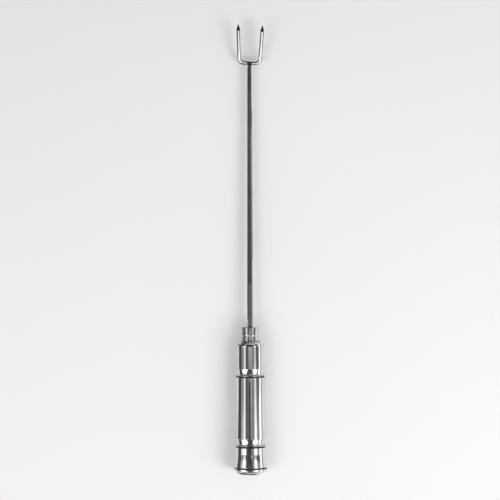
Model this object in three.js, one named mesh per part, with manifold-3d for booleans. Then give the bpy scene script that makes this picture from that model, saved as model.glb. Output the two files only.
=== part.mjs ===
// Barbecue fork. A bent wire fork with two tines is brazed to a long tapered shaft, whose tang runs through
// a polished handle of stacked hollow sleeves and is drawn tight by a nut under the butt cap.
// Millimetres. The handle's axis is Y: the origin is the middle of the butt's flat, and the tines are at +Y.
// X runs across the fork, and the tines rise to +Z.
import * as THREE from "three";
import { mergeVertices } from "three/addons/utils/BufferGeometryUtils.js";
import Module from "manifold-3d";

const wasm = await Module();
wasm.setup();

// Fits that several pieces share
const slipFit = 0.3; // round a piece that slides or presses into another
const sleeveWall = 2.2;
const seamHeight = 1.4; // what shows of a spacer between two sleeves
const seamDepth = 0.3; // how far a spacer's edge lies under the sleeves beside it
const edgeRounding = 0.35; // of a sleeve's outer rims
const cutOverrun = 1; // how far a cutting body runs past what it cuts

// Butt cap
const capHeight = 6.15;
const capRadius = 16.8;
const capSideHeight = 4.6; // from the flat to where the rim is widest
const capFlatRadius = 6;
const capDomeRadius = 12.3; // where the dome meets the rounded rim
const capDomeRise = 1.15;
const capDomeBulge = 4.2; // how far the dome stays nearly flat past the flat
const capRimPull = 3.5; // height of the corner that the rounded rim cuts off
const capFloor = 4.5; // thickness at the middle: the butt is solid, which balances the long shaft
const capSkirtRadius = 11.4;
const capSkirtWall = 1.6;
const capSkirtHeight = 3;

// Lower sleeve
const lowerLength = 20.25;
const lowerFootRadius = 16.8;
const lowerTopRadius = 15.3;
const lowerFlareHeight = 13.5; // where the flare begins, above the foot

// Middle sleeve, with the lower ring and its cove
const middleLength = 70.05;
const middleRingRadius = 15.9;
const middleWaistRadius = 14.2;
const middleWaistHeight = 1.7;
const middleHollowRadius = 14.8; // of the cove just under its crisp edge
const middleEdgeRadius = 15.65;
const middleEdgeHeight = 7.4;
const middleEdgeStep = 0.3; // height of the crisp edge
const middleBellyRadius = 14.85; // pulls the long side in between its two ends
const middleBellyHeight = 34;
const middleTopRadius = 14.68;

// Upper sleeve, with the upper ring, its cove and the rounded shoulder
const upperLength = 35.45;
const upperRingRadius = 14.95;
const upperWaistRadius = 13.4;
const upperWaistHeight = 1.9;
const upperHollowRadius = 13.95;
const upperEdgeRadius = 14.1;
const upperEdgeHeight = 7.2;
const upperEdgeStep = 0.15;
const shoulderHeight = 5.4;
const shoulderTopRadius = 9.3;
const shoulderWall = 2.3;
const shoulderInnerSlope = 3.6; // height of the slanted corner inside the shoulder

// Ferrule
const ferruleLength = 14.6;
const ferruleRadius = 8.95;
const ferruleRounding = 1;
const ferruleGrooveHeight = 5.3;
const ferruleGrooveWidth = 1.3;
const ferruleGrooveDepth = 0.35;
const ferruleSpigotRadius = 5;
const ferruleSpigotLength = 2;

// Spacers and clamp plate
const spacerWeb = 2.2;
const spacerLipLength = 3;
const spacerLipWall = 1.5;
const plateRecess = 6; // depth of the dish that holds the washer and the nut
const plateWeb = 3.2;

// Tang, washer and nut
const tangRadius = 2;
const tangChamfer = 0.6;
const tangProjection = 0.7; // past the nut
const washerRadius = 3.8;
const washerThickness = 1.1;
const washerGapAngle = 0.25;
const nutAcrossFlats = 7;
const nutThickness = 3.2;

// Shaft
const shaftLength = 270.8; // from the ferrule to the middle of the crossbar
const shaftRearRadius = 3.05;
const shaftFrontRadius = 2.2;
const neckRadius = 2.5; // between the shaft's taper and the ferrule, which it sits on
const neckLength = 1.3;
const neckSlope = 0.8; // length of the cone from the neck to the taper

// Tine fork
const wireRadius = 2.05;
const crossbarSpan = 21.2; // between the two corners of the bent wire's centre line
const crossbarOffset = 0.1;
const crossbarSlant = THREE.MathUtils.degToRad(3.5);
const bendSetback = 4.9; // from each corner to where its bend begins
const tineLength = 37.8;
const leftTineLean = THREE.MathUtils.degToRad(1.3);
const rightTineLean = THREE.MathUtils.degToRad(4.3);
const tineTilt = THREE.MathUtils.degToRad(22); // the bent wire is brazed on with its tines sloping up
const tineDroop = 4.4; // how far a tip has come down again from that slope
const pointLength = 6;
const pointRadius = 0.25;

// Braze fillet
const brazeThickness = 0.6;
const brazeOverlap = 0.35; // past the shaft's side, all round
const brazeLipShort = 0.4; // how far the lips stop short of the crossbar's centre line

// Sides of the round solids
const handleSides = 32;
const innerSides = 24;
const wireSides = 12;
const wireSteps = 54;
const wirePoints = 40;

// Stations along the axis, from the butt
const plateStart = capHeight;
const lowerStart = plateStart + seamHeight;
const lowerSeam = lowerStart + lowerLength;
const middleStart = lowerSeam + seamHeight;
const upperSeam = middleStart + middleLength;
const upperStart = upperSeam + seamHeight;
const ferruleStart = upperStart + upperLength;
const shaftStart = ferruleStart + ferruleLength;
const crossbarPlace = shaftStart + shaftLength;

// Bores
const lowerBore = lowerTopRadius - sleeveWall;
const middleBore = middleTopRadius - sleeveWall;
const upperBore = upperWaistRadius - sleeveWall;
const tangBore = tangRadius + slipFit;

// Materials
const polishedSteel = new THREE.MeshStandardMaterial({ color: 0xc9c9c7, roughness: 0.12, metalness: 1 });
const shaftSteel = new THREE.MeshStandardMaterial({ color: 0x9b9a98, roughness: 0.28, metalness: 1 });
const wireSteel = new THREE.MeshStandardMaterial({ color: 0xbdbcba, roughness: 0.22, metalness: 1 });
const brazeMetal = new THREE.MeshStandardMaterial({ color: 0x8f8a80, roughness: 0.45, metalness: 1 });
const seamSteel = new THREE.MeshStandardMaterial({ color: 0x4a4846, roughness: 0.5, metalness: 1 });
const innerSteel = new THREE.MeshStandardMaterial({ color: 0x9a9a98, roughness: 0.4, metalness: 1 });

function at(radius, height) {
  return new THREE.Vector2(radius, height);
}

// Points of a curve from one outline point to another, pulled toward a third. The first point is left out.
function bend(from, toward, to, steps) {
  return new THREE.QuadraticBezierCurve(from, toward, to).getPoints(steps).slice(1);
}

// Points of a curve that leaves one outline point upright and arrives upright at another.
function sweep(from, to, steps) {
  const middle = from.clone().lerp(to, 0.5);
  return [
    ...bend(from, at(from.x, (from.y + middle.y) / 2), middle, steps),
    ...bend(middle, at(to.x, (middle.y + to.y) / 2), to, steps),
  ];
}

// Corners of a regular polygon round the middle.
function polygon(radius, sides) {
  return Array.from({ length: sides }, (_, side) => {
    const angle = (2 * Math.PI * side) / sides;
    return at(radius * Math.cos(angle), radius * Math.sin(angle));
  });
}

// A solid turned about the Y axis. One flat side faces down, so that the piece lies still.
function turned(profile, sides) {
  return new THREE.LatheGeometry(profile, sides, Math.PI / sides);
}

// A turned ring: its profile closes on itself.
function turnedRing(profile, sides) {
  return turned([...profile, profile[0].clone()], sides);
}

function solidOf(geometry) {
  const bare = geometry.clone();
  bare.deleteAttribute("normal");
  bare.deleteAttribute("uv");
  const merged = mergeVertices(bare);
  return new wasm.Manifold(
    new wasm.Mesh({
      numProp: 3,
      vertProperties: merged.attributes.position.array,
      triVerts: new Uint32Array(merged.index.array),
    }),
  );
}

function geometryOf(solid) {
  const mesh = solid.getMesh();
  const geometry = new THREE.BufferGeometry();
  geometry.setAttribute("position", new THREE.BufferAttribute(mesh.vertProperties, mesh.numProp));
  geometry.setIndex(new THREE.BufferAttribute(mesh.triVerts, 1));
  geometry.computeVertexNormals();
  return geometry;
}

// The butt cap: a dome with a small flat, a rounded rim, and a skirt pressed into the clamp plate's dish.
function buttCap() {
  const skirtTop = capHeight + capSkirtHeight;
  const domeEnd = at(capDomeRadius, capDomeRise);
  const dome = bend(at(capFlatRadius, 0), at(capFlatRadius + capDomeBulge, 0), domeEnd, 3);
  const rim = bend(domeEnd, at(capRadius, capRimPull), at(capRadius, capSideHeight), 5);
  return turned(
    [
      at(0, 0),
      at(capFlatRadius, 0),
      ...dome,
      ...rim,
      at(capRadius, capHeight - edgeRounding),
      at(capRadius - edgeRounding, capHeight),
      at(capSkirtRadius, capHeight),
      at(capSkirtRadius, skirtTop),
      at(capSkirtRadius - capSkirtWall, skirtTop),
      at(capSkirtRadius - capSkirtWall, capFloor),
      at(0, capFloor),
    ],
    handleSides,
  );
}

// The lower sleeve flares from its top to the foot.
function lowerSleeve() {
  const flare = bend(
    at(lowerFootRadius, edgeRounding),
    at(lowerTopRadius + edgeRounding, lowerFlareHeight / 2),
    at(lowerTopRadius, lowerFlareHeight),
    6,
  );
  return turnedRing(
    [
      at(lowerBore, 0),
      at(lowerFootRadius - edgeRounding, 0),
      at(lowerFootRadius, edgeRounding),
      ...flare,
      at(lowerTopRadius, lowerLength - edgeRounding),
      at(lowerTopRadius - edgeRounding, lowerLength),
      at(lowerBore, lowerLength),
    ],
    handleSides,
  );
}

// The ring at the foot of a sleeve, and its flare down to the waist of the cove.
function ringAndWaist(ringRadius, waist) {
  const ringTop = at(ringRadius, 2 * edgeRounding);
  return [
    at(ringRadius - edgeRounding, 0),
    at(ringRadius, edgeRounding),
    ringTop,
    ...bend(ringTop, at(waist.x, 3 * edgeRounding), waist, 4),
  ];
}

// The middle sleeve: ring and cove at its foot, then a long side that draws in toward the top.
function middleSleeve() {
  const waist = at(middleWaistRadius, middleWaistHeight);
  const hollow = at(middleHollowRadius, middleEdgeHeight - middleEdgeStep);
  const edge = at(middleEdgeRadius, middleEdgeHeight);
  const side = bend(
    edge,
    at(middleBellyRadius, middleBellyHeight),
    at(middleTopRadius, middleLength - edgeRounding),
    6,
  );
  return turnedRing(
    [
      at(middleBore, 0),
      ...ringAndWaist(middleRingRadius, waist),
      ...sweep(waist, hollow, 3),
      edge,
      ...side,
      at(middleTopRadius - edgeRounding, middleLength),
      at(middleBore, middleLength),
    ],
    handleSides,
  );
}

// The upper sleeve: ring and cove at its foot, plain side, and rounded shoulder with the ferrule's hole.
function upperSleeve() {
  const waist = at(upperWaistRadius, upperWaistHeight);
  const hollow = at(upperHollowRadius, upperEdgeHeight - upperEdgeStep);
  const shoulderFoot = at(upperEdgeRadius, upperLength - shoulderHeight);
  const shoulder = bend(
    shoulderFoot,
    at(upperEdgeRadius, upperLength - shoulderHeight / 5),
    at(shoulderTopRadius, upperLength),
    6,
  );
  const innerTop = upperLength - shoulderWall;
  const holeRadius = ferruleSpigotRadius + slipFit;
  return turnedRing(
    [
      at(upperBore, 0),
      ...ringAndWaist(upperRingRadius, waist),
      ...bend(waist, at(waist.x, (waist.y + hollow.y) / 2), hollow, 4),
      at(upperEdgeRadius, upperEdgeHeight),
      shoulderFoot,
      ...shoulder,
      at(holeRadius, upperLength),
      at(holeRadius, innerTop),
      at(upperBore - shoulderInnerSlope, innerTop),
      at(upperBore, innerTop - shoulderInnerSlope),
    ],
    handleSides,
  );
}

// The ferrule: a bored collar with a rounded top, a fine groove, and a spigot in the shoulder's hole.
function ferrule() {
  const grooveLow = ferruleGrooveHeight - ferruleGrooveWidth / 2;
  const grooveHigh = ferruleGrooveHeight + ferruleGrooveWidth / 2;
  const roundingFoot = at(ferruleRadius, ferruleLength - ferruleRounding);
  const rounding = bend(
    roundingFoot,
    at(ferruleRadius, ferruleLength),
    at(ferruleRadius - ferruleRounding, ferruleLength),
    4,
  );
  return turnedRing(
    [
      at(tangBore, -ferruleSpigotLength),
      at(ferruleSpigotRadius, -ferruleSpigotLength),
      at(ferruleSpigotRadius, 0),
      at(ferruleRadius - edgeRounding, 0),
      at(ferruleRadius, edgeRounding),
      at(ferruleRadius, grooveLow),
      at(ferruleRadius - ferruleGrooveDepth, ferruleGrooveHeight),
      at(ferruleRadius, grooveHigh),
      roundingFoot,
      ...rounding,
      at(tangBore, ferruleLength),
    ],
    handleSides,
  );
}

// A disc between two sleeves: a lip in each sleeve's bore, and an edge that shows as the dark seam.
function spacer(lowSleeveBore, highSleeveBore, edgeRadius) {
  const lowLip = lowSleeveBore - slipFit;
  const highLip = highSleeveBore - slipFit;
  const webLow = (seamHeight - spacerWeb) / 2;
  const webHigh = (seamHeight + spacerWeb) / 2;
  return turnedRing(
    [
      at(tangBore, webLow),
      at(lowLip - spacerLipWall, webLow),
      at(lowLip - spacerLipWall, -spacerLipLength),
      at(lowLip, -spacerLipLength),
      at(lowLip, 0),
      at(edgeRadius, 0),
      at(edgeRadius, seamHeight),
      at(highLip, seamHeight),
      at(highLip, seamHeight + spacerLipLength),
      at(highLip - spacerLipWall, seamHeight + spacerLipLength),
      at(highLip - spacerLipWall, webHigh),
      at(tangBore, webHigh),
    ],
    innerSides,
  );
}

// The dished plate that closes the lower sleeve and carries the nut.
function clampPlate() {
  const dishRadius = capSkirtRadius + slipFit;
  const edgeRadius = lowerFootRadius - seamDepth;
  return turnedRing(
    [
      at(tangBore, plateRecess),
      at(dishRadius, plateRecess),
      at(dishRadius, 0),
      at(edgeRadius, 0),
      at(edgeRadius, seamHeight),
      at(lowerBore - slipFit, seamHeight),
      at(lowerBore - slipFit, plateRecess + plateWeb),
      at(tangBore, plateRecess + plateWeb),
    ],
    innerSides,
  );
}

// A split washer: a flat ring with a gap.
function springWasher() {
  const gap = washerGapAngle;
  const outline = new THREE.Shape();
  outline.absarc(0, 0, washerRadius, gap / 2, 2 * Math.PI - gap / 2, false);
  outline.absarc(0, 0, tangBore, 2 * Math.PI - gap / 2, gap / 2, true);
  outline.closePath();
  const ring = new THREE.ExtrudeGeometry(outline, {
    depth: washerThickness,
    bevelEnabled: false,
    curveSegments: innerSides / 2,
  });
  return ring.rotateX(-Math.PI / 2);
}

function tangNut() {
  const outline = new THREE.Shape(polygon(nutAcrossFlats / 2 / Math.cos(Math.PI / 6), 6));
  outline.holes.push(new THREE.Path(polygon(tangBore, innerSides)));
  const nut = new THREE.ExtrudeGeometry(outline, { depth: nutThickness, bevelEnabled: false });
  return nut.rotateX(-Math.PI / 2);
}

// A round bar through the crossbar's centre line, as thick as asked.
function crossbarBody(radius) {
  const length = crossbarSpan + 4 * wireRadius;
  return new THREE.CylinderGeometry(radius, radius, length, innerSides)
    .rotateZ(Math.PI / 2 - crossbarSlant)
    .translate(0, crossbarPlace, 0);
}

// The shaft: a tang with a chamfered end, a neck on the ferrule, and a long taper notched for the crossbar.
function shaft(tangEnd) {
  const neckEnd = shaftStart + neckLength;
  const blank = turned(
    [
      at(0, tangEnd),
      at(tangRadius - tangChamfer, tangEnd),
      at(tangRadius, tangEnd + tangChamfer),
      at(tangRadius, shaftStart),
      at(neckRadius, shaftStart),
      at(neckRadius, neckEnd),
      at(shaftRearRadius, neckEnd + neckSlope),
      at(shaftFrontRadius, crossbarPlace),
      at(0, crossbarPlace),
    ],
    innerSides,
  );
  const notch = crossbarBody(wireRadius + 2 * slipFit + brazeThickness);
  return geometryOf(solidOf(blank).subtract(solidOf(notch)));
}

// The brazing metal: a saddle that follows the crossbar's back and closes the shaft's notch.
function brazeFillet() {
  const lipEnd = crossbarPlace - brazeLipShort;
  const reach = wireRadius + 2 * slipFit + brazeThickness;
  const plugRadius = shaftFrontRadius + brazeOverlap;
  const plug = turned(
    [
      at(0, crossbarPlace - reach),
      at(plugRadius, crossbarPlace - reach),
      at(plugRadius, lipEnd),
      at(0, lipEnd),
    ],
    innerSides,
  );
  const outer = crossbarBody(wireRadius + slipFit + brazeThickness);
  const inner = crossbarBody(wireRadius + slipFit);
  return geometryOf(solidOf(plug).intersect(solidOf(outer)).subtract(solidOf(inner)));
}

// The centre line of the bent wire, from the left tip round the crossbar to the right tip.
function wireLine() {
  const slope = Math.tan(crossbarSlant);
  const leftCorner = new THREE.Vector2(crossbarOffset - crossbarSpan / 2, 0);
  const rightCorner = new THREE.Vector2(crossbarOffset + crossbarSpan / 2, 0);
  leftCorner.y = -slope * leftCorner.x;
  rightCorner.y = -slope * rightCorner.x;
  const leftWay = new THREE.Vector2(-Math.sin(leftTineLean), Math.cos(leftTineLean));
  const rightWay = new THREE.Vector2(Math.sin(rightTineLean), Math.cos(rightTineLean));
  const across = rightCorner.clone().sub(leftCorner).normalize();
  const plan = new THREE.Path();
  const along = (corner, way, distance) => corner.clone().addScaledVector(way, distance);
  const leftTip = along(leftCorner, leftWay, tineLength);
  const leftStart = along(leftCorner, leftWay, bendSetback);
  const leftEnd = along(leftCorner, across, bendSetback);
  const rightStart = along(rightCorner, across, -bendSetback);
  const rightEnd = along(rightCorner, rightWay, bendSetback);
  const rightTip = along(rightCorner, rightWay, tineLength);
  plan.moveTo(leftTip.x, leftTip.y);
  plan.lineTo(leftStart.x, leftStart.y);
  plan.quadraticCurveTo(leftCorner.x, leftCorner.y, leftEnd.x, leftEnd.y);
  plan.lineTo(rightStart.x, rightStart.y);
  plan.quadraticCurveTo(rightCorner.x, rightCorner.y, rightEnd.x, rightEnd.y);
  plan.lineTo(rightTip.x, rightTip.y);
  const lifted = plan.getSpacedPoints(wirePoints).map((point) => {
    const lift = point.y * Math.tan(tineTilt) - tineDroop * (point.y / tineLength) ** 2;
    return new THREE.Vector3(point.x, crossbarPlace + point.y, lift);
  });
  return new THREE.CatmullRomCurve3(lifted, false, "centripetal");
}

// What grinding takes off a tine's end to leave its point. Its axis runs out through the tip.
function grinding(tip, way) {
  const taper = (wireRadius - pointRadius) / pointLength;
  const cutLength = pointLength + cutOverrun;
  const ring = turnedRing(
    [
      at(pointRadius, 0),
      at(pointRadius + taper * cutLength, -cutLength),
      at(2 * wireRadius, -cutLength),
      at(2 * wireRadius, cutOverrun),
      at(pointRadius, cutOverrun),
    ],
    innerSides,
  );
  const turn = new THREE.Quaternion().setFromUnitVectors(new THREE.Vector3(0, 1, 0), way);
  return ring.applyQuaternion(turn).translate(tip.x, tip.y, tip.z);
}

function tineFork() {
  const line = wireLine();
  const wire = new THREE.ExtrudeGeometry(new THREE.Shape(polygon(wireRadius, wireSides)), {
    steps: wireSteps,
    bevelEnabled: false,
    extrudePath: line,
  });
  const leftWay = line.getTangent(0).negate();
  const rightWay = line.getTangent(1);
  const ground = solidOf(wire)
    .subtract(solidOf(grinding(line.getPoint(0), leftWay)))
    .subtract(solidOf(grinding(line.getPoint(1), rightWay)));
  return geometryOf(ground);
}

const fork = new THREE.Group();

function place(name, geometry, material, station) {
  const mesh = new THREE.Mesh(geometry, material);
  mesh.name = name;
  mesh.position.y = station;
  fork.add(mesh);
}

const washerEnd = plateStart + plateRecess;
const nutEnd = washerEnd - washerThickness;
const nutStart = nutEnd - nutThickness;

place("butt_cap", buttCap(), polishedSteel, 0);
place("clamp_plate", clampPlate(), seamSteel, plateStart);
place("spring_washer", springWasher(), innerSteel, nutEnd);
place("tang_nut", tangNut(), innerSteel, nutStart);
place("lower_sleeve", lowerSleeve(), polishedSteel, lowerStart);
place("lower_spacer", spacer(lowerBore, middleBore, lowerTopRadius - seamDepth), seamSteel, lowerSeam);
place("middle_sleeve", middleSleeve(), polishedSteel, middleStart);
place("upper_spacer", spacer(middleBore, upperBore, middleTopRadius - seamDepth), seamSteel, upperSeam);
place("upper_sleeve", upperSleeve(), polishedSteel, upperStart);
place("ferrule", ferrule(), polishedSteel, ferruleStart);
place("shaft", shaft(nutStart - tangProjection), shaftSteel, 0);
place("braze_fillet", brazeFillet(), brazeMetal, 0);
place("tine_fork", tineFork(), wireSteel, 0);

export default fork;
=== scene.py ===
# Barbecue fork: its finish, a plain pale studio and the camera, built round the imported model.
# Lengths of the object are in millimetres here and turn into metres where a mesh is made.
import math

import bpy
from mathutils import Matrix, Vector, noise


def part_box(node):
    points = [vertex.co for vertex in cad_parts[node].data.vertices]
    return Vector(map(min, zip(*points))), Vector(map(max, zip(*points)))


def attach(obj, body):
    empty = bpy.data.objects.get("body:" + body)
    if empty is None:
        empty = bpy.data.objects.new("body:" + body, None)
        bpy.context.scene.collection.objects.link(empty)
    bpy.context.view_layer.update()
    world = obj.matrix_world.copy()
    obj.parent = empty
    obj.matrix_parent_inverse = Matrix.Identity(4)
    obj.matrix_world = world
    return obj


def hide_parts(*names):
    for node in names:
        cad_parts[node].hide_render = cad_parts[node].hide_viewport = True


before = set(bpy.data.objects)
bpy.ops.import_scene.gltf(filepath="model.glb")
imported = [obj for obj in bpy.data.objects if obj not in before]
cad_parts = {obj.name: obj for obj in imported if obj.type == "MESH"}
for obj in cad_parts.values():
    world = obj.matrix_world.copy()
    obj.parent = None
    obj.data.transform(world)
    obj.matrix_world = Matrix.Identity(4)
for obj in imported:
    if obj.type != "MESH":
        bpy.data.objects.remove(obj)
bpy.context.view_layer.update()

MM = 0.001

# Fits and rims that several pieces share
sleeve_wall = 2.2
slip_fit = 0.3
seam_depth = 0.3
rim = 0.35

# Butt cap
cap_radius = 16.8
cap_side_height = 4.6
cap_flat_radius = 6.0
cap_dome_radius = 12.3
cap_dome_rise = 1.15
cap_dome_bulge = 4.2
cap_rim_pull = 3.5
cap_floor = 4.5
cap_skirt_radius = 11.4
cap_skirt_wall = 1.6
cap_skirt_height = 3.0

# Sleeves
lower_foot_radius = 16.8
lower_top_radius = 15.3
lower_flare_height = 13.5
middle_ring = dict(
    ring=15.9, waist=14.2, waist_height=1.7, hollow=14.8, edge=15.65, edge_height=7.4, step=0.3
)
edge_pull = 0.8, 0.2  # shares of the way out and up, for the curve to a cove's crisp edge
middle_belly_radius = 14.85
middle_belly_height = 34.0
middle_top_radius = 14.68
upper_ring = dict(
    ring=14.95, waist=13.4, waist_height=1.9, hollow=13.95, edge=14.1, edge_height=7.2, step=0.15
)
shoulder_height = 5.4
shoulder_top_radius = 9.3
shoulder_wall = 2.3
shoulder_inner_slope = 3.6

# Ferrule
ferrule_radius = 8.95
ferrule_rounding = 1.0
groove_height = 5.3
groove_width = 1.3
groove_depth = 0.35
spigot_radius = 5.0

# Spacers
spacer_lip_length = 3.0
spacer_lip_wall = 1.5

# Shaft
tang_radius = 2.0
neck_radius = 2.5
neck_length = 1.3
neck_slope = 0.8
shaft_rear_radius = 3.05
shaft_front_radius = 2.2
shaft_length = 270.8
tang_chamfer = 0.6
neck_ease = 0.2  # how far before its end the neck begins to widen
edge_ease = 0.15  # how far the edge of the taper is rounded, to each side of it
edge_drop = 0.05  # how far that moves the taper's foot out and its edge in
hollow_overlap = 0.05  # of the hollowed end and the crossbar
hollow_depth = 0.3  # of that end's middle in the crossbar

# Tine fork
wire_radius = 2.05
crossbar_span = 21.2
crossbar_offset = 0.1
crossbar_slant = math.radians(3.5)
bend_setback = 4.9
tine_length = 37.8
left_tine_lean = math.radians(1.3)
right_tine_lean = math.radians(4.3)
tine_tilt = math.radians(22)
tine_droop = 4.4
point_length = 6.0
point_radius = 0.25
way_reach = 0.3  # to each side of a place, for the wire's direction there
point_bow = 0.92  # under 1, the ground points are a little full
facets = 5  # soft facets that grinding left on a point
facet_share = 0.035

# Braze fillet
fillet_size = 0.5
fillet_uneven_share = 0.35
fillet_lumps = 1.7
fillet_noise_row = 3.1
fillet_swell = 0.04
fillet_inner_share = 0.75  # of the shaft's radius, for the edge inside the joint
fillet_inner_depth = 0.4

# Unevenness of the hand-polished surfaces: its depth, the width of its humps, and how far they are drawn out
handle_wave = 0.02
handle_hump = 9.0
handle_draw = 3
shaft_wave_share = 0.006
shaft_hump = 7.0
shaft_round = 4
shaft_draw = 6
wire_wave = 0.012
wire_hump = 5.0

# Old dirt, and painted shade at the ferrule's foot, the shaft's neck and joint, the braze and the tine
# points: how much of it lies in a place, and how far from it it reaches
seam_soil = 1.0, 0.55
# Painted shade: a dark line at the ferrule's foot, for the contact shade where it meets the shoulder
collar_painted_shade = 1.0, 0.7
collar_shade_width = 2.0  # past the shoulder's flat top
groove_soil = 0.5, 0.4
cove_soil = 0.6, 0.5
cove_soil_share = 0.6  # of the waist's height, where a cove's dirt lies
# Painted shade, partly dirt: the shaft darkens where it goes into the ferrule
neck_soil_and_shade = 0.7, 1.2
# Painted shade at the joint: the shaft's end darkens toward the crossbar, and the braze is darkened all over
joint_shade = 0.25
braze_shade = 0.3
# Painted shade: the ground points are painted near black for the dark they mirror, fading out past where they
# begin
point_shade = 1.6
point_edge_shade = 0.25, 1.5

# Stations along the axis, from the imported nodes
def span(node):
    low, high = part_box(node)
    return low.y / MM, high.y / MM


lower_start, lower_end = span("lower_sleeve")
middle_start, middle_end = span("middle_sleeve")
upper_start, upper_end = span("upper_sleeve")
ferrule_low, ferrule_end = span("ferrule")
seam_height = middle_start - lower_end
cap_height = lower_start - seam_height
crossbar_place = ferrule_end + shaft_length
seams = (cap_height + seam_height / 2, lower_end + seam_height / 2, middle_end + seam_height / 2)

# How finely the turned pieces and the wire are made
round_sides = 160
long_step = 1.6
support = 0.12
wire_sides = 40
wire_steps = 260
rim_steps = 5
dome_steps = 10
cap_side_steps = 14
flare_steps = 16
ring_steps = 12
even_cove_steps = 10
cove_steps = 20
edge_steps = 4
belly_steps = 40
shoulder_steps = 20
groove_steps = 4
rounding_steps = 10
shaft_sides = 96
shaft_step = 1.5
hollow_steps = 8  # of the shaft's end, down to the crossbar
braze_steps = 10
tine_steps = 60
corner_steps = 26
bar_steps = 24
tip_rings = 0.02, 0.08, 0.2  # extra rings of points near a tip
edge_ring = 0.25  # and to each side of the edge where its point begins


def bend(start, pull, end, steps):
    """Points of a curve from start to end, pulled toward a third point. The first is left out."""
    points = []
    for step in range(1, steps + 1):
        t = step / steps
        points.append(tuple(
            (1 - t) ** 2 * a + 2 * t * (1 - t) * b + t * t * c for a, b, c in zip(start, pull, end)
        ))
    return points


def sweep(start, end, steps):
    """Points of a curve that leaves one outline point upright and arrives upright at another."""
    middle = tuple((a + b) / 2 for a, b in zip(start, end))
    return [
        *bend(start, (start[0], (start[1] + middle[1]) / 2), middle, steps),
        *bend(middle, (end[0], (middle[1] + end[1]) / 2), end, steps),
    ]


def supported(profile, closed):
    """The profile with more points at its corners and along straight runs, so that it shades evenly."""
    fine = []
    ends = profile[1:] + (profile[:1] if closed else [])
    for start, end in zip(profile, ends):
        fine.append(start)
        run = math.dist(start, end)
        if run > 5 * support:
            steps = max(1, round((run - 2 * support) / long_step))
            places = [support / run + (1 - 2 * support / run) * i / steps for i in range(steps + 1)]
            fine += [tuple(a + (b - a) * t for a, b in zip(start, end)) for t in places]
    if not closed:
        fine.append(profile[-1])
    return fine


def gathered(soil_and_shade, distance):
    """How much of the dirt and painted shade lies at a distance from the place where it gathers."""
    most, reach = soil_and_shade
    return most * math.exp(-abs(distance) / reach)


def soil_and_shade_at(radius, station):
    """Old dirt on a turned surface in the seams, the ferrule's groove and the coves, and painted shade at the
    ferrule's foot.
    """
    soil_and_shade = sum(gathered(seam_soil, station - seam) for seam in seams)
    # Painted shade at the ferrule's foot, on the ferrule and on the shoulder's flat top
    if radius < shoulder_top_radius + collar_shade_width:
        soil_and_shade += gathered(collar_painted_shade, station - upper_end)
    soil_and_shade += gathered(groove_soil, station - upper_end - groove_height)
    for start, foot in ((middle_start, middle_ring), (upper_start, upper_ring)):
        soil_and_shade += gathered(cove_soil, station - start - cove_soil_share * foot["waist_height"])
    return min(1.0, soil_and_shade)


def unevenness(place, size, depth):
    """A little rise and fall of a hand-polished surface, in millimetres."""
    return depth * noise.noise(Vector(place) / size)


def mesh_piece(name, vertices, faces, soil_and_shade_levels, material, body="root"):
    mesh = bpy.data.meshes.new(name)
    mesh.from_pydata([tuple(c * MM for c in v) for v in vertices], [], faces)
    mesh.polygons.foreach_set("use_smooth", [True] * len(faces))
    layer = mesh.attributes.new("soil_and_shade", "FLOAT", "POINT")
    layer.data.foreach_set("value", soil_and_shade_levels)
    mesh.update()
    piece = bpy.data.objects.new(name, mesh)
    bpy.context.scene.collection.objects.link(piece)
    mesh.materials.append(material)
    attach(piece, body)
    return piece


def ring_faces(pairs, sides):
    """Faces between neighbouring rings of points. A ring of one point lies on the axis."""
    faces = []
    for low, high in pairs:
        for side in range(sides):
            after = (side + 1) % sides
            if len(low) == 1:
                faces.append((low[0], high[side], high[after]))
            elif len(high) == 1:
                faces.append((low[after], low[side], high[0]))
            else:
                faces.append((low[after], low[side], high[side], high[after]))
    return faces


def turned(name, profile, material, closed=True):
    """A piece turned about the Y axis. A profile that isn't closed starts and ends on the axis."""
    vertices, soil_and_shade_levels, rings = [], [], []
    for radius, station in supported(profile, closed):
        if radius == 0:
            rings.append([len(vertices)])
            vertices.append((0.0, station, 0.0))
            soil_and_shade_levels.append(0.0)
            continue
        ring = []
        for side in range(round_sides):
            angle = 2 * math.pi * side / round_sides
            x, z = math.sin(angle), math.cos(angle)
            swell = unevenness((x * radius, station / handle_draw, z * radius), handle_hump, handle_wave)
            ring.append(len(vertices))
            vertices.append(((radius + swell) * x, station, (radius + swell) * z))
            soil_and_shade_levels.append(soil_and_shade_at(radius, station))
        rings.append(ring)
    faces = ring_faces(zip(rings, rings[1:] + (rings[:1] if closed else [])), round_sides)
    return mesh_piece(name, vertices, faces, soil_and_shade_levels, material)


# Outlines of the turned pieces, as (radius, station)
def cap_outline():
    top = cap_height + cap_skirt_height
    inner = cap_skirt_radius - cap_skirt_wall
    dome_end = (cap_dome_radius, cap_dome_rise)
    edge = (cap_radius, cap_height - rim)
    return [
        (0, 0),
        (cap_flat_radius, 0),
        *bend((cap_flat_radius, 0), (cap_flat_radius + cap_dome_bulge, 0), dome_end, dome_steps),
        *bend(dome_end, (cap_radius, cap_rim_pull), (cap_radius, cap_side_height), cap_side_steps),
        edge,
        *bend(edge, (cap_radius, cap_height), (cap_radius - rim, cap_height), rim_steps),
        (cap_skirt_radius, cap_height),
        (cap_skirt_radius, top),
        (inner, top),
        (inner, cap_floor),
        (0, cap_floor),
    ]


def lower_outline():
    bore = lower_top_radius - sleeve_wall
    foot = (lower_foot_radius, lower_start + rim)
    flare_end = (lower_top_radius, lower_start + lower_flare_height)
    flare_pull = (lower_top_radius + rim, lower_start + lower_flare_height / 2)
    top = (lower_top_radius, lower_end - rim)
    return [
        (bore, lower_start),
        (lower_foot_radius - rim, lower_start),
        *bend((lower_foot_radius - rim, lower_start), (lower_foot_radius, lower_start), foot, rim_steps),
        *bend(foot, flare_pull, flare_end, flare_steps),
        top,
        *bend(top, (lower_top_radius, lower_end), (lower_top_radius - rim, lower_end), rim_steps),
        (bore, lower_end),
    ]


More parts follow.
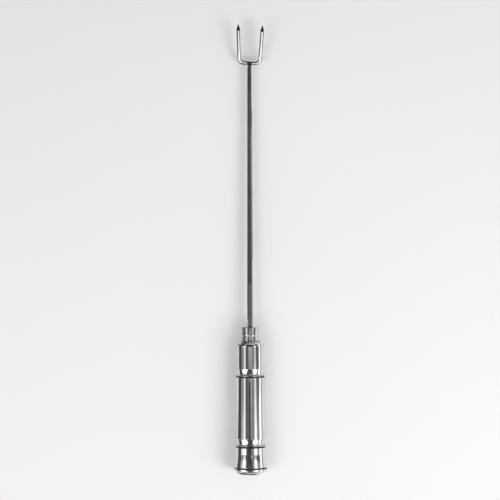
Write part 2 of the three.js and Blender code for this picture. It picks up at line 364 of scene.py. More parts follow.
def ring_and_cove(start, even, ring, waist, waist_height, hollow, edge, edge_height, step):
    """The ring at a sleeve's foot and its cove, up to the crisp edge. An even cove is S-shaped."""
    ring_top = (ring, start + 2 * rim)
    waist_point = (waist, start + waist_height)
    under_edge = (hollow, start + edge_height - step)
    edge_point = (edge, start + edge_height)
    pull_out, pull_up = edge_pull
    lip_pull = (hollow + pull_out * (edge - hollow), under_edge[1] + pull_up * step)
    if even:
        cove = sweep(waist_point, under_edge, even_cove_steps)
    else:
        cove_pull = (waist, (waist_point[1] + under_edge[1]) / 2)
        cove = bend(waist_point, cove_pull, under_edge, cove_steps)
    return [
        (ring - rim, start),
        *bend((ring - rim, start), (ring, start), (ring, start + rim), rim_steps),
        ring_top,
        *bend(ring_top, (waist, ring_top[1] + rim), waist_point, ring_steps),
        *cove,
        *bend(under_edge, lip_pull, edge_point, edge_steps),
    ]


def middle_outline():
    bore = middle_top_radius - sleeve_wall
    foot = ring_and_cove(middle_start, True, **middle_ring)
    top = (middle_top_radius, middle_end - rim)
    return [
        (bore, middle_start),
        *foot,
        *bend(foot[-1], (middle_belly_radius, middle_start + middle_belly_height), top, belly_steps),
        *bend(top, (middle_top_radius, middle_end), (middle_top_radius - rim, middle_end), rim_steps),
        (bore, middle_end),
    ]


def upper_outline():
    bore = upper_ring["waist"] - sleeve_wall
    edge = upper_ring["edge"]
    hole = spigot_radius + slip_fit
    inner_top = upper_end - shoulder_wall
    foot = ring_and_cove(upper_start, False, **upper_ring)
    shoulder_foot = (edge, upper_end - shoulder_height)
    shoulder_pull = (edge, upper_end - shoulder_height / 5)
    return [
        (bore, upper_start),
        *foot,
        shoulder_foot,
        *bend(shoulder_foot, shoulder_pull, (shoulder_top_radius, upper_end), shoulder_steps),
        (hole, upper_end),
        (hole, inner_top),
        (bore - shoulder_inner_slope, inner_top),
        (bore, inner_top - shoulder_inner_slope),
    ]


def ferrule_outline():
    bore = tang_radius + slip_fit
    groove = upper_end + groove_height
    half = groove_width / 2
    foot = (ferrule_radius - rim, upper_end)
    top = (ferrule_radius, ferrule_end - ferrule_rounding)
    groove_low = (ferrule_radius, groove - half)
    groove_high = (ferrule_radius, groove + half)
    groove_mid = (ferrule_radius - groove_depth, groove)
    pull_radius = ferrule_radius - groove_depth / 2
    end_inside = (ferrule_radius - ferrule_rounding, ferrule_end)
    return [
        (bore, ferrule_low),
        (spigot_radius, ferrule_low),
        (spigot_radius, upper_end),
        foot,
        *bend(foot, (ferrule_radius, upper_end), (ferrule_radius, upper_end + rim), rim_steps),
        groove_low,
        *bend(groove_low, (pull_radius, groove - half / 2), groove_mid, groove_steps),
        *bend(groove_mid, (pull_radius, groove + half / 2), groove_high, groove_steps),
        top,
        *bend(top, (ferrule_radius, ferrule_end), end_inside, rounding_steps),
        (bore, ferrule_end),
    ]


def seam_outline(low_bore, high_bore, edge_radius, start):
    """A disc between two sleeves, of which only the edge shows, as the dark seam."""
    bore = tang_radius + slip_fit
    inner = min(low_bore, high_bore) - slip_fit - spacer_lip_wall
    return [
        (bore, start),
        (inner, start),
        (inner, start - spacer_lip_length),
        (low_bore - slip_fit, start - spacer_lip_length),
        (low_bore - slip_fit, start),
        (edge_radius, start),
        (edge_radius, start + seam_height),
        (high_bore - slip_fit, start + seam_height),
        (high_bore - slip_fit, start + seam_height + spacer_lip_length),
        (inner, start + seam_height + spacer_lip_length),
        (inner, start + seam_height),
        (bore, start + seam_height),
    ]


def shaft_radius(station):
    """The shaft's radius between its neck and the crossbar."""
    start = ferrule_end + neck_length + neck_slope
    share = (station - start) / (crossbar_place - start)
    return shaft_rear_radius + (shaft_front_radius - shaft_rear_radius) * share


def crossbar_face(x, z):
    """Where the back of the slanted round crossbar is, for a point beside the shaft's axis."""
    height = max(-wire_radius, min(wire_radius, z))
    return crossbar_place - x * math.tan(crossbar_slant) - math.sqrt(wire_radius**2 - height**2)


def shaft_piece(material):
    """The tapered round shaft, whose end is hollowed to sit on the crossbar."""
    neck_end = ferrule_end + neck_length
    start, _ = span("shaft")
    stations = [
        (tang_radius - tang_chamfer, start),
        (tang_radius, start + tang_chamfer),
        (tang_radius, ferrule_end),
        (neck_radius, ferrule_end),
        (neck_radius, neck_end - neck_ease),
        (neck_radius + edge_drop, neck_end),
        (shaft_rear_radius - edge_drop, neck_end + neck_slope - edge_ease),
    ]
    place = neck_end + neck_slope + edge_ease
    while place < crossbar_place - 2 * wire_radius:
        stations.append((shaft_radius(place), place))
        place += shaft_step
    ways = []
    for side in range(shaft_sides):
        angle = 2 * math.pi * side / shaft_sides
        ways.append((math.sin(angle), math.cos(angle)))
    vertices, soil_and_shade_levels, rings = [(0.0, start, 0.0)], [0.0], [[0]]
    for radius, station in stations:
        rings.append(range(len(vertices), len(vertices) + shaft_sides))
        for way_x, way_z in ways:
            x, z = radius * way_x, radius * way_z
            humps = (x * shaft_round, station / shaft_draw, z * shaft_round)
            grow = 1 + unevenness(humps, shaft_hump, shaft_wave_share)
            vertices.append((x * grow, station, z * grow))
            # Painted shade, partly dirt, at the neck where the shaft goes into the ferrule
            soil_and_shade_levels.append(gathered(neck_soil_and_shade, station - ferrule_end))
    radius, last = stations[-1]
    for step in range(1, hollow_steps + 1):
        rings.append(range(len(vertices), len(vertices) + shaft_sides))
        for way_x, way_z in ways:
            x, z = radius * way_x, radius * way_z
            end = crossbar_face(x, z) + hollow_overlap
            vertices.append((x, last + (end - last) * step / hollow_steps, z))
            # Painted shade, darker toward the crossbar
            soil_and_shade_levels.append(joint_shade * step / hollow_steps)
    rings.append([len(vertices)])
    vertices.append((0.0, crossbar_face(0, 0) + hollow_depth, 0.0))
    soil_and_shade_levels.append(0.0)
    faces = ring_faces(zip(rings, rings[1:]), shaft_sides)
    return mesh_piece("shaft_finish", vertices, faces, soil_and_shade_levels, material)


def braze_piece(material):
    """The brazing metal: a hollow fillet all round the shaft's end, from the shaft to the crossbar."""
    radius = shaft_radius(crossbar_place - wire_radius)
    vertices, faces = [], []
    for side in range(shaft_sides):
        angle = 2 * math.pi * side / shaft_sides
        x, z = math.sin(angle), math.cos(angle)
        lump = noise.noise(Vector((x * fillet_lumps, fillet_noise_row, z * fillet_lumps)))
        size = fillet_size * (1 + fillet_uneven_share * lump)
        corner_y = crossbar_face(radius * x, radius * z)
        reach = radius + size
        foot = Vector((radius * x, corner_y - size, radius * z))
        corner = Vector((radius * x, corner_y, radius * z))
        toe_z = max(-wire_radius, min(wire_radius, reach * z))
        toe = Vector((reach * x, crossbar_face(reach * x, toe_z), toe_z))
        for step in range(braze_steps + 1):
            t = step / braze_steps
            point = (1 - t) ** 2 * foot + 2 * t * (1 - t) * corner + t * t * toe
            vertices.append(tuple(point + Vector((x, 0, z)) * fillet_swell * math.sin(math.pi * t)))
        inner = radius * fillet_inner_share
        vertices.append(tuple(Vector((inner * x, corner_y + fillet_inner_depth, inner * z))))
    count = braze_steps + 2
    for side in range(shaft_sides):
        after = (side + 1) % shaft_sides
        for step in range(count):
            a, b = side * count + step, side * count + (step + 1) % count
            c, d = after * count + (step + 1) % count, after * count + step
            faces.append((d, a, b, c))
    # Painted shade over the whole braze
    return mesh_piece("braze_finish", vertices, faces, [braze_shade] * len(vertices), material)


def wire_line():
    """The bent wire's centre line, from the left tip round the crossbar to the right tip."""
    slope = math.tan(crossbar_slant)
    left_x = crossbar_offset - crossbar_span / 2
    right_x = crossbar_offset + crossbar_span / 2
    left = Vector((left_x, -slope * left_x))
    right = Vector((right_x, -slope * right_x))
    left_way = Vector((-math.sin(left_tine_lean), math.cos(left_tine_lean)))
    right_way = Vector((math.sin(right_tine_lean), math.cos(right_tine_lean)))
    across = (right - left).normalized()
    plan = []

    def straight(start, end, steps):
        plan.extend(start.lerp(end, step / steps) for step in range(steps))

    def corner(start, pull, end, steps):
        for step in range(steps):
            t = step / steps
            plan.append((1 - t) ** 2 * start + 2 * t * (1 - t) * pull + t * t * end)

    straight(left + left_way * tine_length, left + left_way * bend_setback, tine_steps)
    corner(left + left_way * bend_setback, left, left + across * bend_setback, corner_steps)
    straight(left + across * bend_setback, right - across * bend_setback, bar_steps)
    corner(right - across * bend_setback, right, right + right_way * bend_setback, corner_steps)
    straight(right + right_way * bend_setback, right + right_way * tine_length, tine_steps)
    plan.append(right + right_way * tine_length)
    line = []
    for point in plan:
        lift = point.y * math.tan(tine_tilt) - tine_droop * (point.y / tine_length) ** 2
        line.append(Vector((point.x, crossbar_place + point.y, lift)))
    return line


def tine_piece(material):
    """The polished wire with its two ground points."""
    line = wire_line()
    gone = [0.0]
    for before, here in zip(line, line[1:]):
        gone.append(gone[-1] + (here - before).length)
    whole = gone[-1]
    stations = [whole * step / wire_steps for step in range(wire_steps + 1)]
    for end in (0, whole):
        for near in (*tip_rings, point_length - edge_ring, point_length, point_length + edge_ring):
            stations.append(abs(end - near))
    stations = sorted(set(round(s, 4) for s in stations))

    def on_line(distance):
        index = max(i for i, g in enumerate(gone[:-1]) if g <= distance + 1e-9)
        share = (distance - gone[index]) / (gone[index + 1] - gone[index])
        return line[index].lerp(line[index + 1], min(1.0, share))

    vertices, soil_and_shade_levels, faces = [], [], []
    up = Vector((0, 0, 1))
    for distance in stations:
        here = on_line(distance)
        ahead = on_line(min(whole, distance + way_reach))
        behind = on_line(max(0.0, distance - way_reach))
        way = (ahead - behind).normalized()
        side_way = way.cross(up).normalized()
        top_way = side_way.cross(way).normalized()
        from_end = min(distance, whole - distance)
        ground = from_end < point_length
        share = max(0.0, from_end) / point_length
        radius = wire_radius
        if ground:
            radius = point_radius + (wire_radius - point_radius) * share**point_bow
        for side in range(wire_sides):
            angle = 2 * math.pi * side / wire_sides
            girth = radius
            if ground:
                girth *= 1 - facet_share * (1 - math.cos(facets * angle)) * min(1.0, 2 * (1 - share))
            offset = side_way * math.sin(angle) + top_way * math.cos(angle)
            place = here + offset * girth
            place += offset * unevenness(place, wire_hump, wire_wave)
            vertices.append(tuple(place))
            # Painted shade: near-black ground points, fading out past where the points begin
            soil_and_shade_levels.append(point_shade if ground else gathered(point_edge_shade, from_end - point_length))
    rings = len(stations)
    first, last = len(vertices), len(vertices) + 1
    vertices.append(tuple(line[0]))
    vertices.append(tuple(line[-1]))
    soil_and_shade_levels += [point_shade, point_shade]
    for ring in range(rings - 1):
        for side in range(wire_sides):
            a = ring * wire_sides + side
            b = ring * wire_sides + (side + 1) % wire_sides
            faces.append((a, b, b + wire_sides, a + wire_sides))
    for side in range(wire_sides):
        after = (side + 1) % wire_sides
        faces.append((first, after, side))
        faces.append((last, (rings - 1) * wire_sides + side, (rings - 1) * wire_sides + after))
    return mesh_piece("tine_fork_finish", vertices, faces, soil_and_shade_levels, material)


# Heights of the marks in the metal
mark_height = 0.02
fine_mark_height = 0.0035
turning_height = 0.0016
pit_depth = 0.004


# Materials
def metal(name, colour, roughness, streak=1.0, soil_and_shade_colour=(0.05, 0.047, 0.043), turning=0.0, tarnish=0.2):
    """Polished metal with polishing and turning marks, dull patches, pits, and darkening from the soil
    attribute, which is dirt in some places and painted shade in others.
    """
    material = bpy.data.materials.new(name)
    material.use_nodes = True
    tree = material.node_tree
    nodes, links = tree.nodes, tree.links
    shader = nodes["Principled BSDF"]
    shader.inputs["Metallic"].default_value = 1.0
    where = nodes.new("ShaderNodeTexCoord").outputs["Object"]

    def noise_at(scale, detail, rough=0.55):
        mapping = nodes.new("ShaderNodeMapping")
        mapping.inputs["Scale"].default_value = scale
        links.new(where, mapping.inputs["Vector"])
        texture = nodes.new("ShaderNodeTexNoise")
        texture.inputs["Scale"].default_value = 1.0
        texture.inputs["Detail"].default_value = detail
        texture.inputs["Roughness"].default_value = rough
        links.new(mapping.outputs["Vector"], texture.inputs["Vector"])
        return texture.outputs["Fac"]

    def ranged(value, low, high, to_low, to_high):
        node = nodes.new("ShaderNodeMapRange")
        node.inputs["From Min"].default_value = low
        node.inputs["From Max"].default_value = high
        node.inputs["To Min"].default_value = to_low
        node.inputs["To Max"].default_value = to_high
        links.new(value, node.inputs["Value"])
        return node.outputs["Result"]

    def maths(kind, a, b):
        node = nodes.new("ShaderNodeMath")
        node.operation = kind
        for socket, value in zip(node.inputs, (a, b)):
            if isinstance(value, (int, float)):
                socket.default_value = value
            else:
                links.new(value, socket)
        return node.outputs["Value"]

    def mixed(factor, a, b):
        node = nodes.new("ShaderNodeMix")
        node.data_type = "RGBA"
        for socket, value in ((node.inputs[0], factor), (node.inputs[6], a), (node.inputs[7], b)):
            if isinstance(value, tuple):
                socket.default_value = (*value, 1.0)
            else:
                links.new(value, socket)
        return node.outputs[2]

    marks = noise_at((330, 16, 330), 3)
    fine_marks = noise_at((1900, 60, 1900), 4, 0.65)
    rings = noise_at((6, 2600, 6), 3, 0.6)
    patches = noise_at((70, 55, 70), 4, 0.6)
    specks = noise_at((1300, 1300, 1300), 2)
    soil_and_shade_node = nodes.new("ShaderNodeAttribute")
    soil_and_shade_node.attribute_name = "soil_and_shade"
    soil_and_shade = maths("MULTIPLY", soil_and_shade_node.outputs["Fac"], ranged(patches, 0.3, 0.65, 0.65, 1.15))

    dull = tuple(c * (1 - tarnish) for c in colour)
    tone = mixed(ranged(patches, 0.38, 0.72, 0.0, 0.8), colour, dull)
    tone = mixed(ranged(fine_marks, 0.45, 0.75, 0.0, 0.35 * streak), tone, dull)
    pits = ranged(specks, 0.70, 0.78, 0.0, 0.6)
    tone = mixed(pits, tone, soil_and_shade_colour)
    # Dirt and painted shade: the soil attribute darkens the colour toward the soil colour, as dirt in the
    # seams, groove and coves and as painted shade elsewhere
    tone = mixed(ranged(soil_and_shade, 0.1, 1.0, 0.0, 0.96), tone, soil_and_shade_colour)
    links.new(tone, shader.inputs["Base Color"])

    rough = ranged(patches, 0.3, 0.75, roughness, roughness * 1.7)
    rough = maths("ADD", rough, ranged(fine_marks, 0.5, 0.8, 0.0, 0.06 * streak))
    rough = maths("ADD", rough, ranged(soil_and_shade, 0.1, 1.0, 0.0, 0.38))
    links.new(rough, shader.inputs["Roughness"])

    height = maths("MULTIPLY", marks, mark_height * streak)
    height = maths("ADD", height, maths("MULTIPLY", fine_marks, fine_mark_height * streak))
    height = maths("ADD", height, maths("MULTIPLY", rings, turning_height * turning))
    height = maths("ADD", height, maths("MULTIPLY", pits, -pit_depth))
    bump = nodes.new("ShaderNodeBump")
    bump.inputs["Strength"].default_value = 1.0
    bump.inputs["Distance"].default_value = MM
    links.new(height, bump.inputs["Height"])
    links.new(bump.outputs["Normal"], shader.inputs["Normal"])
    return material


handle_chrome = metal("handle_chrome", (0.78, 0.775, 0.77), 0.05, turning=0.5)
ferrule_chrome = metal("ferrule_chrome", (0.76, 0.755, 0.75), 0.06, turning=0.8)
shaft_steel = metal("shaft_steel", (0.6, 0.595, 0.59), 0.11, streak=0.6)
# The wire's near-black soil colour paints the points' shade
wire_steel = metal("wire_steel", (0.74, 0.735, 0.73), 0.07, streak=0.3, soil_and_shade_colour=(0.02, 0.019, 0.018))
# The braze is coloured dark grey, partly as painted shade at the joint
braze_metal = metal("braze_metal", (0.17, 0.165, 0.155), 0.35, streak=0.5, turning=0.5)
seam_steel = metal("seam_steel", (0.06, 0.057, 0.053), 0.5, streak=0.5)
inner_steel = metal("inner_steel", (0.42, 0.42, 0.41), 0.32, streak=0.4, turning=1.0)


def finish_pieces():
    chrome = [
        ("butt_cap", cap_outline(), False, handle_chrome),
        ("lower_sleeve", lower_outline(), True, handle_chrome),
        ("middle_sleeve", middle_outline(), True, handle_chrome),
        ("upper_sleeve", upper_outline(), True, handle_chrome),
        ("ferrule", ferrule_outline(), True, ferrule_chrome),
    ]
    for node, outline, closed, material in chrome:
        piece = turned(node + "_finish", outline, material, closed=closed)
        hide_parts(node)
    lower_bore = lower_top_radius - sleeve_wall
    middle_bore = middle_top_radius - sleeve_wall
    upper_bore = upper_ring["waist"] - sleeve_wall
    seam_sets = [
        ("lower_spacer", lower_bore, middle_bore, lower_top_radius - seam_depth, lower_end),
        ("upper_spacer", middle_bore, upper_bore, middle_top_radius - seam_depth, middle_end),
    ]
    for node, low_bore, high_bore, edge_radius, start in seam_sets:
        piece = turned(node + "_finish", seam_outline(low_bore, high_bore, edge_radius, start), seam_steel)
        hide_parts(node)
    shaft = shaft_piece(shaft_steel)
    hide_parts("shaft")
    braze = braze_piece(braze_metal)
    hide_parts("braze_fillet")
    tines = tine_piece(wire_steel)
    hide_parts("tine_fork")


def finish_nodes():
    for node, material, slot in (
        ("clamp_plate", seam_steel, "seam_steel"),
        ("spring_washer", inner_steel, "inner_steel"),
        ("tang_nut", inner_steel, "inner_steel"),
    ):
        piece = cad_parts[node]
        piece.data.materials.clear()
        piece.data.materials.append(material)


finish_pieces()
finish_nodes()

# The fork lies on its butt and its upper ring, so the floor is a little askew to the handle's axis
rest_rear = (cap_radius, lower_start + rim)
rest_front = (upper_ring["ring"], upper_start + rim)
floor_slope = math.atan2(rest_rear[0] - rest_front[0], rest_front[1] - rest_rear[1])
floor_drop = -rest_rear[0] * math.cos(floor_slope) - rest_rear[1] * math.sin(floor_slope)
lying = Matrix.Rotation(floor_slope, 4, "X") @ Matrix.Translation((0, 0, floor_drop * MM))


def on_floor(thing, local):
    """Places a stage object, lamp or camera by its place over the floor."""
    thing.matrix_world = lying @ local
    return thing


def plain(name, colour, roughness):
    material = bpy.data.materials.new(name)
    material.use_nodes = True
    shader = material.node_tree.nodes["Principled BSDF"]
    shader.inputs["Base Color"].default_value = (*colour, 1.0)
    shader.inputs["Roughness"].default_value = roughness
    return material


def stage_mesh(name, vertices, faces, material):
    mesh = bpy.data.meshes.new(name)
    mesh.from_pydata(vertices, [], faces)
    mesh.materials.append(material)
    thing = bpy.data.objects.new(name, mesh)
    bpy.context.scene.collection.objects.link(thing)
    return on_floor(thing, Matrix.Identity(4))


floor_reach = 8.0
floor_fade = 0.8, 2.6  # metres from the butt, between which the paper fades away
far_tone = (0.77, 0.765, 0.768, 1.0)


def camera_only(tree, near, far, share=None):
    """Mixes two shaders: the camera alone sees the second, as far as the share says."""
    path = tree.nodes.new("ShaderNodeLightPath")
    mix = tree.nodes.new("ShaderNodeMixShader")
    if share is None:
        tree.links.new(path.outputs["Is Camera Ray"], mix.inputs["Fac"])
    else:
        both = tree.nodes.new("ShaderNodeMath")
        both.operation = "MULTIPLY"
        tree.links.new(path.outputs["Is Camera Ray"], both.inputs[0])
        tree.links.new(share, both.inputs[1])
        tree.links.new(both.outputs["Value"], mix.inputs["Fac"])
    tree.links.new(near, mix.inputs[1])
    tree.links.new(far, mix.inputs[2])
    return mix.outputs["Shader"]


def paper_floor():
    """Pale paper that fades into the pale backdrop well outside the picture."""
    material = plain("floor_paper", (0.87, 0.86, 0.865), 0.7)
    tree = material.node_tree
    distance = tree.nodes.new("ShaderNodeVectorMath")
    distance.operation = "LENGTH"
    tree.links.new(tree.nodes.new("ShaderNodeTexCoord").outputs["Object"], distance.inputs[0])
    fade = tree.nodes.new("ShaderNodeMapRange")
    fade.interpolation_type = "SMOOTHSTEP"
    fade.inputs["From Min"].default_value, fade.inputs["From Max"].default_value = floor_fade
    tree.links.new(distance.outputs["Value"], fade.inputs["Value"])
    backdrop = tree.nodes.new("ShaderNodeEmission")
    backdrop.inputs["Color"].default_value = far_tone
    paper = tree.nodes["Principled BSDF"].outputs["BSDF"]
    seen = camera_only(tree, paper, backdrop.outputs["Emission"], fade.outputs["Result"])
    tree.links.new(seen, tree.nodes["Material Output"].inputs["Surface"])
    return material


stage_mesh(
    "floor",
    [(x * floor_reach, y * floor_reach, 0) for x, y in ((-1, -1), (1, -1), (1, 1), (-1, 1))],
    [(0, 1, 2, 3)],
    paper_floor(),
)

# The light tent: a half round of soft light over the fork, seen only by the metal. Each strip of it is given
# at stations along the fork, in metres, with its two edges as angles from overhead and its level there.
# Between the stations it runs straight, and past its last ones there is none.
tent_radius = 1.5
tent_angles = -88, 88
tent_ends = -7.0, 2.2
edge_blur = 2.4  # degrees over which a strip's edge fades
ambient = 0.1  # level between the strips
near_reach = 1.0  # to each side of the butt, the tent has a row of points at every near step
near_step = 0.06
far_steps = 6  # rows of points for each stretch of a strip beyond it
soft_strips = [
    [(-0.60, -76, -54, 1.5), (-0.15, -75, -54, 1.5), (-0.05, -75, -54, 0.5), (0.01, -75, -54, 0.45)],
    [(0.01, -75, -54, 0.45), (0.03, -77, -54, 0.22), (0.14, -77, -54, 0.22)],
    [(0.14, -77, -54, 0.22), (0.2, -75, -54, 0.6), (0.4, -75, -54, 0.6), (0.46, -75, -54, 0.0)],
    [(-0.60, -62, -29, 1.6), (-0.15, -58, -31, 1.6), (-0.05, -55, -34, 1.25), (0.01, -55, -34, 1.25)],
    [(0.01, -55, -34, 1.25), (0.03, -54, -39, 0.95), (0.14, -55, -40, 0.9)],
    [(0.14, -55, -40, 0.9), (0.2, -56, -36, 1.6), (0.4, -56, -36, 1.6), (0.46, -56, -36, 0.0)],
    [
        (-7.0, -50, -42, 1.7), (-1.9, -66, -26, 1.9), (-0.62, -68, -22, 1.9),
        (-0.30, -60, -31, 1.9), (-0.18, -52, -40, 0.0),
    ],
    [(-0.60, 25, 55, 1.6), (-0.15, 27, 54, 1.8), (-0.05, 28, 51, 1.65), (0.01, 28, 51, 1.65)],
    [(0.01, 28, 51, 1.65), (0.03, 30, 48, 1.0), (0.08, 30, 46, 0.7), (0.14, 30, 44, 0.45)],
    [(0.14, 30, 44, 0.45), (0.2, 28, 49, 1.7), (0.4, 28, 49, 1.7), (0.46, 28, 49, 0.0)],
    [
        (-7.0, 38, 44, 1.7), (-1.9, 24, 54, 1.9), (-0.62, 19, 59, 1.9),
        (-0.30, 27, 53, 1.9), (-0.18, 36, 47, 0.0),
    ],
    [
        (-7.0, 72, 96, 1.7), (0.01, 72, 96, 1.9), (0.03, 75, 96, 1.5),
        (0.15, 76, 96, 1.4), (0.66, 73, 96, 1.8),
    ],
    [
        (-0.60, 14, 26, 0.2), (-0.15, 12, 27, 0.22), (-0.05, 5, 28, 0.22),
        (0.01, 4, 28, 0.22), (0.03, 1, 30, 0.17),
    ],
    [(0.03, 1, 30, 0.17), (0.11, 1, 30, 0.12), (0.2, 12, 27, 0.2), (0.4, 14, 27, 0.2), (0.46, 14, 27, 0.0)],
    [(0.02, 1, 14, 0.0), (0.05, 0, 14, 0.14), (0.12, -14, 16, 0.28), (0.17, -10, 16, 0.0)],
    [
        (-0.05, -28, -14, 0.05), (0.02, -28, -14, 0.05), (0.05, -24, 0, 0.09),
        (0.12, -20, 0, 0.2), (0.17, -20, 0, 0.0),
    ],
    [(-7.0, 52, 72, 0.3), (0.01, 52, 72, 0.3), (0.03, 52, 72, 0.1), (0.14, 52, 72, 0.0)],
    [(0.2, 53, 73, 0.3), (0.4, 53, 73, 0.3), (0.46, 53, 73, 0.0)],
    [(0.5, -90, 90, 0.0), (0.8, -90, 90, -0.07), (2.2, -90, 90, -0.07)],
    [(1.0, -58, -34, 0.0), (1.1, -58, -34, 0.6), (2.2, -58, -34, 0.6)],
    [(1.0, 26, 51, 0.0), (1.1, 26, 51, 0.7), (2.2, 26, 51, 0.7)],
    [(0.66, 73, 96, 1.8), (2.2, 73, 96, 0.8)],
]


def tent_level(angle, station):
    level = ambient
    for strip in soft_strips:
        for here, there in zip(strip, strip[1:]):
            first, left, right, strength = here
            last, next_left, next_right, next_strength = there
            if first <= station < last or station == last == tent_ends[1]:
                share = (station - first) / (last - first)
                from_left = angle - left - (next_left - left) * share
                from_right = right + (next_right - right) * share - angle
                inside = min(1.0, max(0.0, min(from_left, from_right) / edge_blur + 0.5))
                level += (strength + (next_strength - strength) * share) * inside
    return level


def metal_only(name, vertices, faces, material):
    """A stage mesh for the metal alone: no camera sees it, and it neither lights nor shades the floor."""
    thing = stage_mesh(name, vertices, faces, material)
    thing.visible_camera = False
    thing.visible_diffuse = False
    thing.visible_shadow = False
    return thing


def glowing(name):
    """A material that only glows, and its glow."""
    material = bpy.data.materials.new(name)
    material.use_nodes = True
    tree = material.node_tree
    tree.nodes.clear()
    glow = tree.nodes.new("ShaderNodeEmission")
    output = tree.nodes.new("ShaderNodeOutputMaterial")
    tree.links.new(glow.outputs["Emission"], output.inputs["Surface"])
    return material, glow


def light_tent():
    stations = set(tent_ends)
    for strip in soft_strips:
        for (first, *_), (last, *_) in zip(strip, strip[1:]):
            near = first > -near_reach and last < near_reach
            steps = max(1, round((last - first) / near_step)) if near else far_steps
            stations |= {round(first + (last - first) * step / steps, 4) for step in range(steps + 1)}
    stations = sorted(stations)
    angles = range(tent_angles[0], tent_angles[1] + 1)
    vertices, levels, faces = [], [], []
    for station in stations:
        for angle in angles:
            turn = math.radians(angle)
            vertices.append((tent_radius * math.sin(turn), station, tent_radius * math.cos(turn)))
            levels.append(tent_level(angle, station))
    for row in range(len(stations) - 1):
        for column in range(len(angles) - 1):
            a = row * len(angles) + column
            faces.append((a, a + 1, a + 1 + len(angles), a + len(angles)))
    for end, turn_over in ((0, False), ((len(stations) - 1) * len(angles), True)):
        middle = len(vertices)
        vertices.append((0.0, stations[0] if end == 0 else stations[-1], 0.0))
        levels.append(ambient)
        for column in range(len(angles) - 1):
            pair = (end + column, end + column + 1)
            faces.append((middle, *(reversed(pair) if turn_over else pair)))
    material, glow = glowing("tent_light")
    level = material.node_tree.nodes.new("ShaderNodeAttribute")
    level.attribute_name = "level"
    material.node_tree.links.new(level.outputs["Fac"], glow.inputs["Strength"])
    tent = metal_only("light_tent", vertices, faces, material)
    layer = tent.data.attributes.new("level", "FLOAT", "POINT")
    layer.data.foreach_set("value", levels)


light_tent()

# Cards that stand in the metal's reflections, in metres over the floor
card_roughness = 0.9
flat_height = 0.0005  # of a card that lies on the floor


def card_paper(name, tone):
    return plain(name, (tone, tone, tone), card_roughness)


def card_light(name, level):
    material, glow = glowing(name)
    glow.inputs["Strength"].default_value = level
    return material


black = card_paper("card_black", 0.07)
dark = card_paper("card_dark", 0.085)
grey = card_paper("card_grey", 0.16)
mid_grey = card_paper("card_mid_grey", 0.3)

# Upright cards stand on the floor: from one place to another, up to a height
upright_cards = {
    "left_card": ((-0.08, -0.4), (-0.075, 0.36), 0.036, black),
    "shaft_card": ((-0.033, 0.158), (-0.028, 0.42), 0.026, black),
    "tip_card": ((-0.08, 0.5), (0.08, 0.5), 0.1, black),
    "head_card": ((-0.08, 0.36), (-0.08, 0.62), 0.14, black),
    "head_right_card": ((0.07, 0.36), (0.07, 0.62), 0.06, black),
    "butt_card": ((-0.1, -0.07), (0.1, -0.07), 0.03, black),
    "right_strip": ((0.12, -0.3), (0.12, 0.3), 0.012, black),
}

# Level cards lie at a height, over a stretch across the fork and one along it
level_cards = {
    "shaft_roof": ((-0.033, 0.075), (0.195, 0.4), 0.0245, grey),
    "shaft_roof_near": ((-0.033, 0.075), (0.151, 0.195), 0.0245, mid_grey),
    "shaft_roof_end": ((-0.008, 0.007), (0.395, 0.4185), 0.0145, grey),
    # Painted shadow: a black sheet on the floor left of the shaft, which the shaft mirrors as its shadow
    # there
    "shaft_painted_shadow": ((-0.033, -0.004), (0.158, 0.418), flat_height, black),
    "shaft_floor_right": ((0.004, 0.033), (0.22, 0.375), flat_height, black),
    # Painted shadow: a black sheet on the floor left of the ferrule, which the ferrule mirrors as its shadow
    # there
    "ferrule_painted_shadow": ((-0.06, -0.03), (0.136, 0.151), flat_height, black),
    "joint_card": ((-0.0026, 0.0026), (0.4185, 0.4235), 0.0128, black),
    "middle_flag": ((-0.025, 0.001), (0.033, 0.094), 0.13, dark),
    "lower_flag": ((-0.045, 0.006), (-0.01, 0.033), 0.13, black),
    # Painted shadow: a black sheet on the floor at the butt, which the cap mirrors as its contact shadow
    "butt_painted_shadow": ((-0.02, 0.012), (-0.04, -0.003), flat_height, black),
    "head_light": ((-0.05, 0.012), (0.30, 0.425), 0.13, card_light("head_light", 1.7)),
    "head_side_light": ((0.012, 0.09), (0.30, 0.425), 0.13, card_light("head_side_light", 1.3)),
}


def place_cards():
    for name, (start, end, height, material) in upright_cards.items():
        corners = [(*start, 0), (*end, 0), (*end, height), (*start, height)]
        metal_only(name, corners, [(0, 1, 2, 3)], material)
    for name, ((left, right), (near, far), height, material) in level_cards.items():
        corners = [(left, near, height), (right, near, height), (right, far, height), (left, far, height)]
        metal_only(name, corners, [(0, 1, 2, 3)], material)


place_cards()

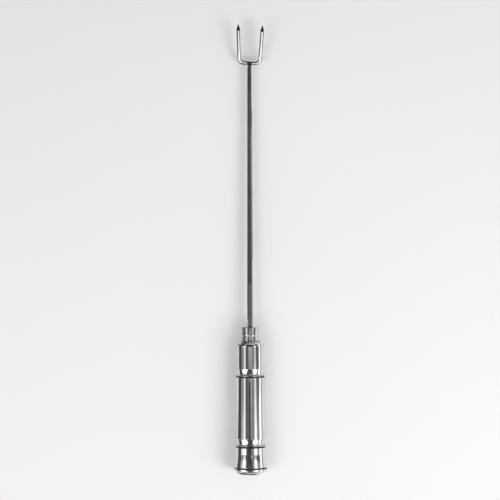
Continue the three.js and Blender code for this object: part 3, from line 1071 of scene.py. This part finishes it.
# Soft lamps beside the fork, in metres
lamp_size = 0.59, 1.02
lamp_aim = Vector((0, 0.24, 0))
lamp_distance = 1.6
lamp_lean = -0.5  # toward the butt, for each metre up


def soft_lamp(name, side, watts):
    """A lamp for the floor's light and shadows. The metal mirrors the tent instead."""
    light = bpy.data.lights.new(name, "AREA")
    light.shape = "RECTANGLE"
    light.size, light.size_y = lamp_size
    light.energy = watts
    lamp = bpy.data.objects.new(name, light)
    bpy.context.scene.collection.objects.link(lamp)
    way = Vector((side, lamp_lean, 1.0)).normalized()
    turn = way.to_track_quat("Z", "Y").to_matrix().to_4x4()
    on_floor(lamp, Matrix.Translation(lamp_aim + way * lamp_distance) @ turn)
    lamp.visible_glossy = False


soft_lamp("right_lamp", 0.78, 11.5)
soft_lamp("left_lamp", -0.62, 6.2)

# An even room light, with a pale far tone for the camera
world = bpy.data.worlds.new("studio")
world.use_nodes = True
light_of_room = world.node_tree.nodes["Background"]
light_of_room.inputs["Color"].default_value = (0.51, 0.508, 0.51, 1.0)
seen_far = world.node_tree.nodes.new("ShaderNodeBackground")
seen_far.inputs["Color"].default_value = far_tone
seen_world = camera_only(world.node_tree, light_of_room.outputs["Background"], seen_far.outputs["Background"])
world.node_tree.links.new(seen_world, world.node_tree.nodes["World Output"].inputs["Surface"])
bpy.context.scene.world = world

# The camera looks straight down on the fork
axis_distance = 1950.0  # from the camera
pixel_size = 1.0247  # at that distance
frame_pixels = 500
view_centre = (0.0, 229.47)
roll = math.radians(0.175)
axis_height = 12.4
camera_data = bpy.data.cameras.new("camera")
camera_data.sensor_width = 36.0
camera_data.lens = camera_data.sensor_width * axis_distance / (frame_pixels * pixel_size)
camera_data.clip_end = 50.0
camera = bpy.data.objects.new("camera", camera_data)
bpy.context.scene.collection.objects.link(camera)
on_floor(
    camera,
    Matrix.Translation((view_centre[0] * MM, view_centre[1] * MM, (axis_distance + axis_height) * MM))
    @ Matrix.Rotation(-roll, 4, "Z"),
)
bpy.context.scene.camera = camera
bpy.context.scene.view_settings.view_transform = "Standard"
